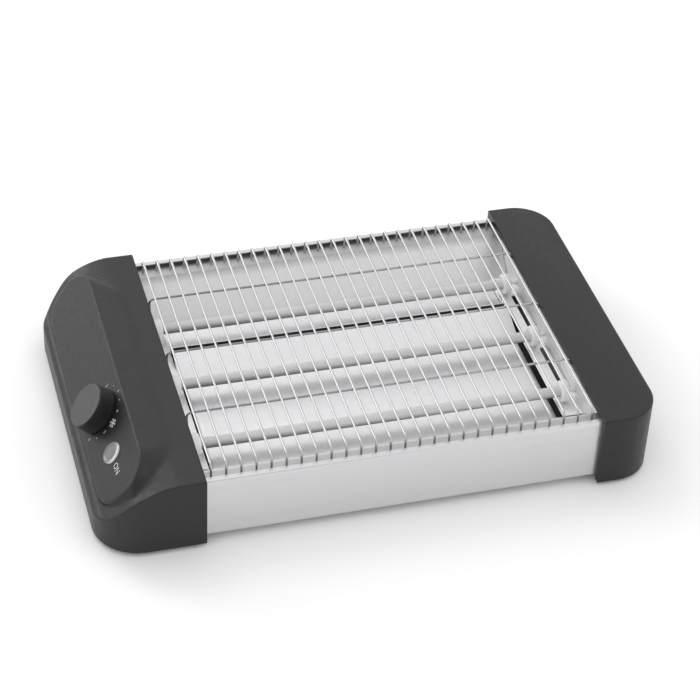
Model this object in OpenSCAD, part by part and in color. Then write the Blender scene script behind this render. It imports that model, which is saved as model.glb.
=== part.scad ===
// Flat toaster: an open wire grill over three quartz tubes in a steel trough,
// between a moulded control housing (left, -X) and a plain moulded end cap (right, +X).
// Units are millimetres, +Z is up, the front of the toaster faces -Y.

/* [Body] */
// length of the steel body that shows between the two end caps
body_len = 270; // [240:1:300]
// depth of the steel body over its front and rear panels
body_dep = 242; // [220:1:262]
// height of the steel panels, from their lower edge to the top flange
panel_h = 46; // [42:0.5:50]
// thickness of the panel and end plate sheet
sheet = 0.8; // [0.6:0.1:1.0]
// width of the flange at the top of the front and rear panels
flange_w = 4.5; // [3.5:0.1:6]
// outside radius of the bends of the panels
panel_r = 1.6; // [1.2:0.1:2]
// thickness of the reflector sheet
refl_t = 0.6; // [0.4:0.1:0.8]

/* [Grill] */
// pitch of the long wires
wire_pitch = 10; // [9:0.1:12]
// diameter of the grill wires
wire_d = 1.6; // [1.4:0.1:2]
// height of the long wires' centre line above the panel flange
wire_rise = 6.6; // [5:0.1:9]
// inside radius of the bends of the long wires
wire_bend = 2; // [1.5:0.1:3]
// inside radius of the bends of the cross wires
cross_bend = 5.2; // [4:0.1:6]

/* [Heating tubes] */
// distance between neighbouring tubes
tube_pitch = 63; // [58:1:68]
// diameter of the quartz tubes
tube_d = 7.5; // [7:0.1:9]
// wall of the quartz tubes
tube_wall = 1; // [0.8:0.1:1.2]
// height of the tube centres above the lower edge of the caps
tube_z = 31; // [29:0.5:33]
// diameter of the ceramic bushes
bush_d = 15; // [14:0.5:16]
// thickness of the discs of the bushes
bush_t = 6; // [5.5:0.1:7]

/* [End caps] */
// length of the control housing at the left
left_len = 70.5; // [68:0.5:74]
// length of the plain cap at the right
right_len = 42.5; // [38:0.5:50]
// height of the flat top of both caps
cap_h = 53.4; // [51:0.1:56]
// how far the caps stand proud of the front and rear panels
cap_proud = 5; // [4:0.1:6]
// wall of the mouldings
wall = 2.5; // [2:0.1:2.8]
// radius of the upright outer corners of the plain cap
corner_r = 27.5; // [24:0.5:29]
// radius of the upright outer corners of the control housing
left_r = 31; // [28:0.5:34]

/* [Control housing] */
// length of the flat part of the top, from the steel to the bend
flat_len = 17.5; // [15:0.5:19]
// fall of the outer slope of the housing, from the horizontal
slope_deg = 50; // [48:0.5:52]
// radius of the bend between the flat top and the slope
bend_r = 45; // [42:0.5:47]
// height of the outer rim of the housing
rim_h = 20; // [19:0.1:21]
// tilt of the control panel, from the horizontal
tilt_deg = 50; // [48:0.5:52]
// width of the control panel across its slope
pod_w = 46; // [44:0.5:47]
// length of the control panel
pod_len = 227; // [215:1:230]
// how far the upper edge of the control panel stands above the flat top
ridge_rise = 6.6; // [5.6:0.1:7.6]
// fall of the scoop in the flat top, towards the control panel
scoop_deg = 20; // [16:0.5:22]

/* [Controls] */
// diameter of the timer knob
knob_d = 33; // [30:0.5:34]
// height of the timer knob
knob_h = 12.6; // [11:0.1:13]
// place of the knob along the panel, from the middle
knob_y = -30.3; // [-34:0.1:-26]
// place of the pilot lens along the panel, from the middle
lens_y = -72.4; // [-74:0.1:-68]
// diameter of the pilot lens
lens_d = 16; // [14:0.5:16.5]
// number of the grip flutes around the knob
flute_n = 48; // [36:2:60]
// depth of the grip flutes
flute_deep = 0.5; // [0.3:0.1:0.7]
// diameter of the timer shaft
shaft_d = 6; // [5.5:0.1:6.5]
// radial running fit of the shaft in the timer
shaft_fit = 0.05; // [0.03:0.01:0.08]

/* [Base] */
// height of the rubber feet below the caps
foot_h = 3; // [2:0.1:4]
// diameter of the rubber feet
foot_d = 15; // [12:0.5:18]
// width of the crumb tray
tray_w = 220; // [200:1:224]
// height of the crumb tray's wall
tray_h = 7; // [6:0.1:8]
// running clearance of the crumb tray
tray_gap = 0.4; // [0.3:0.1:0.6]
// diameter of the cord hole in the gland
cord_d = 7; // [6:0.1:8]
// how far the gland stands out of the rear wall
gland_out = 3; // [2.5:0.1:4]

/* [View] */
// which piece is drawn

/* [Hidden] */
$fn = 64;
eps = 0.01;
hx = body_len / 2;
hy = body_dep / 2;
cap_y = hy + cap_proud;
x_left = -hx - left_len;
x_right = hx + right_len;
shift_y = -gland_out / 2;
panel_z = 3;
top_z = panel_z + panel_h;
panel_over = 4;
end_x = hx + panel_over;
end_top = top_z - 1;
inner_y = hy - sheet;
rim_drop = 3.5;
rim_top = top_z - rim_drop;
refl_in = 15;
refl_floor = 19.7;
wall_run = 28;
floor_y = hy - refl_in - wall_run;
ridge_w = 8.5;
front_w = 26;
gap_y = tube_pitch * 2 / 3;
ridge_z = 28.5;
gap_half = 2.1;
curl_r = 7;
curl_deg = 35;
refl_hx = hx - 17.5;
rim_hx = end_x - sheet - 0.3;
wire_r = wire_d / 2;
wire_z = top_z + wire_rise;
leg_y = hy - 8;
wire_n = floor((body_len - 8) / wire_pitch) + 1;
wire_x0 = -(wire_n - 1) * wire_pitch / 2;
bend_c = wire_bend + wire_r;
cross_c = cross_bend + wire_r;
cross_z = wire_z - wire_d - 0.02;
cross_off = 6;
leg_x = hx - wire_r - 0.4;
tube_ys = [tube_pitch, 0, -tube_pitch];
tube_r = tube_d / 2;
bush_r = bush_d / 2;
bush_x = hx - 8.5;
neck_x = bush_x + bush_t;
tube_in = 4.5;
tube_end = bush_x + tube_in;
neck_r = 1.7;
neck_len = 1.4;
pin_r = 1;
bar_t = 0.8;
bar_x = end_x + neck_len;
pin_end = bar_x + bar_t + 1;
shelf_z = tube_z - bush_r;
shelf_x0 = hx - 11;
shelf_x1 = hx + 1;
shelf_y = floor_y - 0.5;
slot_len = 48;
rear_hx = shelf_x0 - 0.3;
lower_w = 9;
base_z = panel_z + sheet;
floor_z = base_z + sheet;
base_y = hy - panel_r;
tray_z = floor_z + 0.3;
tray_t = 0.8;
tray_y = hy + 0.3;
grip_hx = 30;
cover_t = 2.2;
cover_z = 0.8;
boss_z = cover_z + cover_t;
boss_r = 4;
screw_r = 1.15;
screw_len = 12;
head_r = 3;
lip_x = 2;
ret_x = 2.5;
dish_r = 28;
dish_x = -hx - 42;
dish_y = pod_len / 2 - dish_r + 0.5;
pod_r = pod_w / 2;
ridge_h = cap_h + ridge_rise;
pod_y = pod_len / 2 - pod_r;
ridge_x = -hx - 37;
pc_x = ridge_x - cos(tilt_deg) * pod_r;
pc_z = ridge_h - sin(tilt_deg) * pod_r;
knob_gap = 0.5;
knob_top = knob_gap + knob_h;
knob_bevel_h = 0.8;
knob_bevel_r = 0.6;
knob_rim = 2;
flute_r = 0.7;
knob_x = pc_x - max(sin(tilt_deg) * (knob_top - knob_bevel_h) + cos(tilt_deg) * knob_d / 2,
    sin(tilt_deg) * knob_top + cos(tilt_deg) * (knob_d / 2 - knob_bevel_r));
shift_x = -(min(x_left, knob_x) + x_right) / 2;
bend_x = -hx - flat_len;
s1 = [bend_x - bend_r * sin(slope_deg), cap_h - bend_r * (1 - cos(slope_deg))];
rim_x = s1[0] - (s1[1] - rim_h) / tan(slope_deg);
fil_r = 6;
fil_t = fil_r * tan(slope_deg / 2);
scoop_x = dish_x + dish_r;
timer_d = 20;
lens_r = lens_d / 2;
lens_stem = lens_r - 1.6;
stem_len = 6;
lamp_len = 20;
gland_x = -hx - 28;
gland_z = 11;
gland_wall = 2.5;
gland_fit = 0.1;
gland_r = cord_d / 2 + 4.5;
gland_t = 2.5;
tall = 2 * cap_h;
screw_in = 12;
screw_side = 14;
left_out = 46;
left_side = 26;
right_out = 30;
right_side = 34;
left_screws = [for (s = [1, -1], p = [[screw_in, screw_side], [left_out, left_side]])
    [-hx - p[0], s * (cap_y - p[1])]];
right_screws = [for (s = [1, -1], p = [[screw_in, screw_side], [right_out, right_side]])
    [hx + p[0], s * (cap_y - p[1])]];
foot_side = 46;
foot_y = cap_y - foot_side;
foot_left_in = 30;
foot_right_in = 22;
foot_left = -hx - foot_left_in;
foot_right = hx + foot_right_in;
timer_w = 34;
timer_len = 40;

// places the toaster with its bounding box centred over the origin and its feet on z = 0
module placed() {
    translate([shift_x, shift_y, foot_h]) children();
}

// local frame of the control panel: x up the slope, y along it, z out of the face
module on_panel() {
    translate([pc_x, 0, pc_z]) rotate([0, -tilt_deg, 0]) children();
}

// box given by two opposite corners
module box(a, b) {
    translate(a) cube(b - a);
}

// sheet profile through the points p, with thickness t about the middle line
module strip(p, t) {
    for (i = [0 : len(p) - 2]) {
        d = p[i + 1] - p[i];
        n = [-d[1], d[0]] / norm(d) * t / 2;
        polygon([p[i] + n, p[i + 1] + n, p[i + 1] - n, p[i] - n]);
    }
    for (i = [1 : len(p) - 2]) translate(p[i]) circle(d = t);
}

// a profile drawn in y and z, drawn out along x from a to b
module along_x(a, b) {
    translate([a, 0, 0]) rotate([90, 0, 90]) linear_extrude(b - a) children();
}

// a profile drawn in x and z, drawn out along y from a to b
module along_y(a, b) {
    translate([0, b, 0]) rotate([90, 0, 0]) linear_extrude(b - a) children();
}

// stadium lying along y: radius r, centres at +-c
module stadium(r, c) {
    translate([-r, -c]) square([2 * r, 2 * c]);
    translate([0, c]) circle(r);
    translate([0, -c]) circle(r);
}

// plan of a cap: flat at x = a, rounded at x = b
module cap_plan(a, b, y, r) {
    lo = min(a, b);
    hi = max(a, b);
    s = b > a ? 1 : -1;
    intersection() {
        union() {
            translate([lo, -y + r]) square([hi - lo, 2 * (y - r)]);
            translate([s > 0 ? lo : lo + r, -y]) square([hi - lo - r, 2 * y]);
            translate([b - s * r, y - r]) circle(r);
            translate([b - s * r, -y + r]) circle(r);
        }
        translate([lo, -y]) square([hi - lo, 2 * y]);
    }
}

// steel panels: one bent sheet each, with tabs that reach into the caps
module panel_profile() {
    translate([0, panel_z + panel_h / 2]) difference() {
        cap_plan(-hy + lower_w, -hy, panel_h / 2, panel_r);
        cap_plan(-hy + lower_w + 1, -inner_y, panel_h / 2 - sheet, panel_r - sheet);
        translate([-hy + flange_w, 0]) square([lower_w, panel_h]);
    }
}

module panel_sheet() {
    along_x(-hx, hx) panel_profile();
    box([-hx - panel_over, -hy, panel_z + panel_r], [hx + panel_over, -inner_y, top_z - panel_r]);
}

module front_panel() {
    color([0.82, 0.82, 0.83]) placed() panel_sheet();
}

module rear_panel() {
    color([0.82, 0.82, 0.83]) placed() difference() {
        mirror([0, 1, 0]) panel_sheet();
        box([-tray_w / 2 - 1, inner_y - 1, floor_z], [tray_w / 2 + 1, hy + 1, tray_z + tray_h + 0.6]);
    }
}

// end plate with the slotted shelf that the ceramic bushes sit on, drawn for the right end
module end_plate() {
    difference() {
        union() {
            box([end_x - sheet, -inner_y, floor_z], [end_x, inner_y, end_top]);
            box([shelf_x0, -shelf_y, shelf_z - sheet], [end_x - eps, shelf_y, shelf_z]);
        }
        for (y = tube_ys)
            translate([end_x - 2, y, tube_z]) rotate([0, 90, 0]) cylinder(r = neck_r + 0.05, h = 4);
        for (y = [-0.5, 0.5])
            translate([shelf_x1, y * tube_pitch - slot_len / 2, shelf_z - 2])
                cube([end_x - sheet - shelf_x1, slot_len, 4]);
    }
}

module right_end_plate() {
    color([0.8, 0.8, 0.81]) placed() end_plate();
}

module left_end_plate() {
    color([0.8, 0.8, 0.81]) placed() mirror([1, 0, 0]) end_plate();
}

module base_plate() {
    color([0.72, 0.72, 0.73]) placed() difference() {
        union() {
            box([-end_x, -base_y, base_z], [end_x, base_y, floor_z]);
            for (s = [-1, 1])
                translate([s * (tray_w / 2 + tray_gap + sheet / 2) - sheet / 2, -inner_y + 6, floor_z - eps])
                    cube([sheet, body_dep - 24, 4]);
        }
        for (x = [-60, -30, 0, 30, 60])
            for (y = [-60, 0, 60])
                translate([x, y, base_z - 1]) linear_extrude(4) stadium(2, 12);
    }
}

// reflectors, bent from one sheet each, hung from the panels by their turned-down lips
module rim_holes(s) {
    for (i = [0 : wire_n - 1])
        translate([wire_x0 + i * wire_pitch, s * leg_y, rim_top - 3]) cylinder(r = wire_r + 0.1, h = 6);
}

module reflector(s, floor_hx, ridge_hx, slope_w) {
    lip = inner_y - refl_t / 2;
    mid = rim_top - refl_t / 2;
    floor_to = gap_y + s * slope_w;
    upper = [[s * lip, mid - 6], [s * lip, mid], [s * (hy - refl_in), mid], [s * floor_y, refl_floor]];
    lower = [[floor_to, refl_floor], [gap_y + s * gap_half, ridge_z]];
    difference() {
        union() {
            along_x(-floor_hx, floor_hx) strip(concat(upper, lower), refl_t);
            for (m = [0, 1]) mirror([m, 0, 0]) {
                along_x(floor_hx - 1, rim_hx) strip(concat(upper, [[s * (floor_y - 1), refl_floor]]), refl_t);
                if (ridge_hx > floor_hx)
                    along_x(floor_hx - 1, ridge_hx)
                        strip(concat([[floor_to + s, refl_floor]], lower), refl_t);
            }
        }
        rim_holes(s);
    }
}

module rear_reflector() {
    color([0.86, 0.86, 0.87]) placed() reflector(1, rear_hx, rear_hx, ridge_w);
}

// the floor of the front reflector is curled down at both ends
module front_reflector() {
    color([0.86, 0.86, 0.87]) placed() {
        reflector(-1, refl_hx, rear_hx, front_w);
        for (s = [0, 1]) mirror([s, 0, 0])
            translate([refl_hx, gap_y - front_w, refl_floor - curl_r]) rotate([90, 0, 0])
                linear_extrude(gap_y - front_w + floor_y) intersection() {
                    difference() {
                        circle(curl_r + refl_t / 2);
                        circle(curl_r - refl_t / 2);
                    }
                    polygon([[-eps, 0], [-eps, 2 * curl_r], [2 * curl_r * tan(curl_deg), 2 * curl_r],
                        [eps, 0]]);
                }
    }
}

// wire of the grill, along y, with both ends bent down through the rims of the reflectors
module long_wire() {
    run = leg_y - bend_c;
    translate([0, run, wire_z]) rotate([90, 0, 0]) cylinder(r = wire_r, h = 2 * run);
    for (s = [0, 1]) mirror([0, s, 0]) {
        translate([0, run, wire_z - bend_c]) rotate([90, 0, 90])
            rotate_extrude(angle = 90) translate([bend_c, 0]) circle(wire_r);
        translate([0, leg_y, rim_top - 2.2]) cylinder(r = wire_r, h = wire_z - bend_c - rim_top + 2.2);
    }
}

module grill_wires() {
    color([0.78, 0.78, 0.79]) placed()
        for (i = [0 : wire_n - 1]) translate([wire_x0 + i * wire_pitch, 0, 0]) long_wire();
}

// wire under the grill, along x, with both ends bent down to the shelves of the end plates
module cross_wire(y) {
    run = leg_x - cross_c;
    color([0.78, 0.78, 0.79]) placed() translate([0, y, 0]) {
        translate([-run, 0, cross_z]) rotate([0, 90, 0]) cylinder(r = wire_r, h = 2 * run);
        for (s = [0, 1]) mirror([s, 0, 0]) {
            translate([run, 0, cross_z - cross_c]) rotate([90, 0, 0])
                rotate_extrude(angle = 90) translate([cross_c, 0]) circle(wire_r);
            translate([leg_x, 0, shelf_z]) cylinder(r = wire_r, h = cross_z - cross_c - shelf_z);
        }
    }
}

module cross_wire_rear() {
    cross_wire(tube_ys[0] + cross_off);
}

module cross_wire_middle() {
    cross_wire(tube_ys[1] + cross_off + 2);
}

module cross_wire_front() {
    cross_wire(tube_ys[2] + cross_off);
}

// quartz tube with its element core and the ceramic bushes that carry it
module tube(y) {
    color([0.88, 0.88, 0.88]) placed() translate([-tube_end, y, tube_z]) rotate([0, 90, 0]) difference() {
        cylinder(r = tube_r, h = 2 * tube_end);
        translate([0, 0, -1]) cylinder(r = tube_r - tube_wall, h = 2 * tube_end + 2);
    }
}

module tube_rear() {
    tube(tube_ys[0]);
}

module tube_middle() {
    tube(tube_ys[1]);
}

module tube_front() {
    tube(tube_ys[2]);
}

module element(y) {
    core = tube_end - 12;
    color([0.3, 0.29, 0.28]) placed() translate([0, y, tube_z]) rotate([0, 90, 0]) {
        translate([0, 0, -core]) cylinder(r = tube_r - tube_wall - 0.2, h = 2 * core);
        translate([0, 0, -pin_end]) cylinder(r = pin_r, h = 2 * pin_end);
    }
}

module element_rear() {
    element(tube_ys[0]);
}

module element_middle() {
    element(tube_ys[1]);
}

module element_front() {
    element(tube_ys[2]);
}

module bush(y, s) {
    color([0.95, 0.95, 0.94]) placed() mirror([s < 0 ? 1 : 0, 0, 0])
        translate([bush_x, y, tube_z]) rotate([0, 90, 0]) difference() {
            union() {
                cylinder(r1 = bush_r - 1, r2 = bush_r, h = 1);
                translate([0, 0, 1]) cylinder(r = bush_r, h = bush_t - 2);
                translate([0, 0, bush_t - 1]) cylinder(r1 = bush_r, r2 = bush_r - 1, h = 1);
                translate([0, 0, bush_t - eps]) cylinder(r = neck_r, h = end_x + neck_len - neck_x + eps);
            }
            translate([0, 0, -1]) cylinder(r = tube_r + 0.05, h = tube_in + 1);
            translate([0, 0, 2]) cylinder(r = pin_r + 0.05, h = 40);
        }
}

module bush_left_rear() {
    bush(tube_ys[0], -1);
}

module bush_left_middle() {
    bush(tube_ys[1], -1);
}

module bush_left_front() {
    bush(tube_ys[2], -1);
}

module bush_right_rear() {
    bush(tube_ys[0], 1);
}

module bush_right_middle() {
    bush(tube_ys[1], 1);
}

module bush_right_front() {
    bush(tube_ys[2], 1);
}

// links between the ends of the elements, hidden inside the caps
module bus_bar(s) {
    color([0.75, 0.66, 0.4]) placed() mirror([s < 0 ? 1 : 0, 0, 0]) difference() {
        box([bar_x, -tube_pitch - 4, tube_z - 4], [bar_x + bar_t, tube_pitch + 4, tube_z + 4]);
        for (y = tube_ys)
            translate([bar_x - 1, y, tube_z]) rotate([0, 90, 0]) cylinder(r = pin_r + 0.05, h = 4);
    }
}

module bus_bar_left() {
    bus_bar(-1);
}

module bus_bar_right() {
    bus_bar(1);
}

// section of the control housing: flat top, bend, slope, rim
module housing_section() {
    intersection() {
        union() {
            polygon([[-hx, 0], [-hx, cap_h], [bend_x, cap_h], s1, [rim_x, rim_h],
                [x_left, rim_h], [x_left, 0]]);
            translate([bend_x, cap_h - bend_r]) circle(bend_r);
            difference() {
                polygon([[rim_x + fil_t * cos(slope_deg), rim_h + fil_t * sin(slope_deg)],
                    [rim_x, rim_h - eps], [rim_x - fil_t, rim_h]]);
                translate([rim_x - fil_t, rim_h + fil_r]) circle(fil_r);
            }
        }
        translate([x_left, 0]) square([left_len, cap_h + 1]);
    }
}

// section of the scoop in the flat top
module scoop_section() {
    polygon([[scoop_x, cap_h], [scoop_x - 60, cap_h - 60 * tan(scoop_deg)], [scoop_x - 60, cap_h + 20],
        [scoop_x, cap_h + 20]]);
}

// the control panel stands up out of the slope and the scoop as a tilted stadium
module housing_outside() {
    difference() {
        intersection() {
            along_y(-cap_y, cap_y) housing_section();
            linear_extrude(cap_h + 20) cap_plan(-hx, x_left, cap_y, left_r);
        }
        intersection() {
            along_y(-cap_y, cap_y) scoop_section();
            translate([dish_x, 0, 0]) linear_extrude(cap_h + 30) stadium(dish_r, dish_y);
        }
    }
    on_panel() translate([0, 0, -26]) linear_extrude(26) stadium(pod_r, pod_y);
}

// hollow of the housing, open below and towards the steel
module housing_inside() {
    drop = wall / cos(slope_deg) + 1.5;
    near = scoop_x - 6;
    difference() {
        union() {
            intersection() {
                along_y(-cap_y, cap_y) polygon([[-hx - ret_x, -1], [-hx - ret_x, cap_h - wall],
                    [near + 6, cap_h - wall],
                    [near, cap_h - wall - 6 * tan(scoop_deg)],
                    [s1[0] + 14, s1[1] + 14 * tan(scoop_deg + 6) - drop], [s1[0], s1[1] - drop],
                    [rim_x, rim_h - wall], [x_left + wall, rim_h - wall], [x_left + wall, -1]]);
                translate([0, 0, -1]) linear_extrude(cap_h + 20)
                    cap_plan(-hx, x_left + wall, cap_y - wall, left_r - wall);
            }
            intersection() {
                on_panel() translate([0, 0, -32]) linear_extrude(32 - wall) stadium(pod_r - wall, pod_y);
                box([x_left + wall, -cap_y, 8], [-hx - ret_x, cap_y, cap_h + 20]);
            }
            box([-hx - ret_x - lip_x, -hy, -1], [-hx + 1, hy, top_z]);
        }
        for (p = left_screws) translate([p[0], p[1], boss_z]) cylinder(r = boss_r, h = tall);
    }
}

module left_end_cap() {
    color([0.28, 0.28, 0.28]) placed() difference() {
        housing_outside();
        housing_inside();
        for (p = left_screws)
            translate([p[0], p[1], 0]) cylinder(r = screw_r + 0.05, h = cover_z + screw_len + 1);
        on_panel() translate([0, knob_y, -2 * wall]) cylinder(d = shaft_d + 1.2, h = 4 * wall);
        on_panel() translate([0, lens_y, -2 * wall]) cylinder(r = lens_stem + 0.05, h = 4 * wall);
        gland_neck(gland_fit, -1, wall + 1);
    }
}

// plain cap with a rounded top edge
module plain_outside() {
    r = 2;
    linear_extrude(cap_h - r) cap_plan(hx, x_right, cap_y, corner_r);
    linear_extrude(cap_h) cap_plan(hx, x_right - r, cap_y - r, corner_r - r);
    intersection() {
        union() {
            for (s = [-1, 1]) {
                translate([hx, s * (cap_y - r), cap_h - r]) rotate([0, 90, 0])
                    cylinder(r = r, h = right_len - corner_r);
                translate([x_right - corner_r, s * (cap_y - corner_r), cap_h - r])
                    rotate_extrude() translate([corner_r - r, 0]) circle(r);
            }
            translate([x_right - r, cap_y - corner_r, cap_h - r]) rotate([90, 0, 0])
                cylinder(r = r, h = 2 * (cap_y - corner_r));
        }
        box([hx, -cap_y, 0], [x_right, cap_y, cap_h]);
    }
}

module plain_inside() {
    difference() {
        union() {
            translate([0, 0, -1]) linear_extrude(cap_h - wall + 1) intersection() {
                cap_plan(hx, x_right - wall, cap_y - wall, corner_r - wall);
                translate([hx + ret_x, -cap_y]) square([right_len, 2 * cap_y]);
            }
            box([hx - 1, -hy, -1], [hx + ret_x + lip_x, hy, top_z]);
        }
        for (p = right_screws) translate([p[0], p[1], boss_z]) cylinder(r = boss_r, h = tall);
    }
}

module right_end_cap() {
    color([0.28, 0.28, 0.28]) placed() difference() {
        plain_outside();
        plain_inside();
        for (p = right_screws)
            translate([p[0], p[1], 0]) cylinder(r = screw_r + 0.05, h = cover_z + screw_len + 1);
    }
}

// floors of the caps, with their feet and screws
module cover(a, b, r, screws, fx) {
    color([0.2, 0.2, 0.2]) placed() difference() {
        translate([0, 0, cover_z]) linear_extrude(cover_t) cap_plan(a, b, cap_y - wall - 0.2, r - wall - 0.2);
        for (p = screws) translate([p[0], p[1], 0]) cylinder(r = screw_r + 0.3, h = 10);
        for (s = [-1, 1]) translate([fx, s * foot_y, 0]) cylinder(r = 3, h = 10);
    }
}

module left_cover() {
    cover(-hx - ret_x - 0.2, x_left + wall + 0.2, left_r, left_screws, foot_left);
}

module right_cover() {
    cover(hx + ret_x + 0.2, x_right - wall - 0.2, corner_r, right_screws, foot_right);
}

module screw_set(screws) {
    color([0.55, 0.55, 0.56]) placed() for (p = screws) translate([p[0], p[1], cover_z]) difference() {
        union() {
            translate([0, 0, -1.6]) cylinder(r = head_r, h = 1.6);
            translate([0, 0, -eps]) cylinder(r = screw_r, h = screw_len);
        }
        translate([-2, -0.35, -1.7]) cube([4, 0.7, 0.8]);
        translate([-0.35, -2, -1.7]) cube([0.7, 4, 0.8]);
    }
}

module left_screws() {
    screw_set(left_screws);
}

module right_screws() {
    screw_set(right_screws);
}

module foot(x, y) {
    color([0.15, 0.15, 0.15]) placed() translate([x, y, 0]) {
        translate([0, 0, -foot_h]) cylinder(d1 = foot_d - 2, d2 = foot_d, h = 1);
        translate([0, 0, -foot_h + 1]) cylinder(d = foot_d, h = foot_h - 1 + cover_z);
        translate([0, 0, cover_z - eps]) cylinder(r = 2.95, h = cover_t);
    }
}

module foot_left_rear() {
    foot(foot_left, foot_y);
}

module foot_left_front() {
    foot(foot_left, -foot_y);
}

module foot_right_rear() {
    foot(foot_right, foot_y);
}

module foot_right_front() {
    foot(foot_right, -foot_y);
}

// clockwork timer behind the control panel, with its shaft and knob
module timer_body() {
    color([0.6, 0.6, 0.58]) placed() on_panel() translate([0, knob_y, -wall - timer_d]) difference() {
        translate([-timer_w / 2, -timer_len / 2, 0]) cube([timer_w, timer_len, timer_d]);
        translate([0, 0, timer_d - 14]) cylinder(r = shaft_d / 2 + shaft_fit, h = 20);
    }
}

module timer_shaft() {
    color([0.7, 0.7, 0.7]) placed() on_panel() translate([0, knob_y, -wall - 13.5])
        cylinder(d = shaft_d, h = wall + 13.5 + knob_h - 3);
}

module timer_knob() {
    color([0.27, 0.27, 0.27]) placed() on_panel() translate([0, knob_y, knob_gap]) difference() {
        union() {
            cylinder(d = knob_d, h = knob_h - knob_bevel_h);
            translate([0, 0, knob_h - knob_bevel_h])
                cylinder(d1 = knob_d, d2 = knob_d - 2 * knob_bevel_r, h = knob_bevel_h);
        }
        for (i = [0 : flute_n - 1]) rotate(i * 360 / flute_n)
            translate([knob_d / 2 + flute_r - flute_deep, 0, knob_rim])
                cylinder(r = flute_r, h = knob_h - 2 * knob_rim);
        translate([0, 0, -1]) cylinder(d = shaft_d, h = knob_h - 2.5);
        translate([0, 0, -1]) difference() {
            cylinder(d = knob_d - 4, h = 5);
            cylinder(d = shaft_d + 5, h = 5);
        }
    }
}

// pilot lamp
module pilot_lens() {
    color([0.7, 0.7, 0.72]) placed() on_panel() translate([0, lens_y, 0]) {
        cylinder(r = lens_r, h = 0.8);
        translate([0, 0, 0.8 - eps]) cylinder(r1 = lens_r, r2 = lens_r - 0.8, h = 0.8);
        translate([0, 0, -wall - stem_len]) cylinder(r = lens_stem, h = wall + stem_len + eps);
    }
}

module lamp_holder() {
    color([0.85, 0.84, 0.8]) placed() on_panel() translate([0, lens_y, -wall - lamp_len]) difference() {
        cylinder(r = lens_stem + 2, h = lamp_len);
        translate([0, 0, lamp_len - stem_len]) cylinder(r = lens_stem + 0.05, h = 2 * stem_len);
    }
}

// neck of the cord gland, from d0 to d1 behind the rear wall's outer face, and with more room the slot for it
module gland_neck(room, d0, d1) {
    half = cord_d / 2 + gland_wall + room;
    box([gland_x - half, cap_y - d1, room > 0 ? -1 : 0], [gland_x + half, cap_y - d0, gland_z + half]);
}

// plate of the cord gland: upright at the sides, round above, with its foot at z = foot_at
module gland_plate(foot_at, d0, d1) {
    along_y(cap_y - d1, cap_y - d0) {
        translate([gland_x, gland_z]) circle(gland_r);
        translate([gland_x - gland_r, foot_at]) square([2 * gland_r, gland_z - foot_at]);
    }
}

// gland for the mains cord: it slides up into a slot in the rear wall and the left cover holds it there
module cord_gland() {
    color([0.16, 0.16, 0.16]) placed() difference() {
        union() {
            gland_plate(0, -gland_out, 0);
            gland_neck(0, -eps, wall + eps);
            gland_plate(boss_z, wall, wall + gland_t);
        }
        translate([gland_x, cap_y + gland_out + 1, gland_z]) rotate([90, 0, 0]) cylinder(d = cord_d, h = 30);
    }
}

// crumb tray, drawn out at the rear
module crumb_tray() {
    y0 = -inner_y + 8;
    color([0.7, 0.7, 0.71]) placed() difference() {
        box([-tray_w / 2, y0, tray_z], [tray_w / 2, tray_y, tray_z + tray_h]);
        box([-tray_w / 2 + tray_t, y0 + tray_t, tray_z + tray_t],
            [tray_w / 2 - tray_t, tray_y + 1, tray_z + tray_h + 1]);
    }
}

// plate that closes the tray at the rear, with its grip
module tray_plate() {
    color([0.7, 0.7, 0.71]) placed() {
        box([-tray_w / 2 - 4, tray_y, tray_z - 0.2], [tray_w / 2 + 4, tray_y + 1, tray_z + tray_h + 3.5]);
        box([-grip_hx, tray_y + 1 - eps, tray_z + tray_h - 0.4],
            [grip_hx, tray_y + 4.5, tray_z + tray_h + 0.8]);
    }
}

front_panel();
rear_panel();
left_end_plate();
right_end_plate();
base_plate();
rear_reflector();
front_reflector();
grill_wires();
cross_wire_rear();
cross_wire_middle();
cross_wire_front();
tube_rear();
tube_middle();
tube_front();
element_rear();
element_middle();
element_front();
bush_left_rear();
bush_left_middle();
bush_left_front();
bush_right_rear();
bush_right_middle();
bush_right_front();
bus_bar_left();
bus_bar_right();
left_end_cap();
right_end_cap();
left_cover();
right_cover();
left_screws();
right_screws();
foot_left_rear();
foot_left_front();
foot_right_rear();
foot_right_front();
timer_body();
timer_shaft();
timer_knob();
pilot_lens();
lamp_holder();
cord_gland();
crumb_tray();
tray_plate();
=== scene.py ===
"""Looks of the flat toaster: mouldings, steelwork, wire grill, heating tubes, controls and studio stage."""

import math

import bpy
from bpy.props import FloatProperty, FloatVectorProperty, IntProperty, PointerProperty
from mathutils import Matrix, Vector


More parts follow.
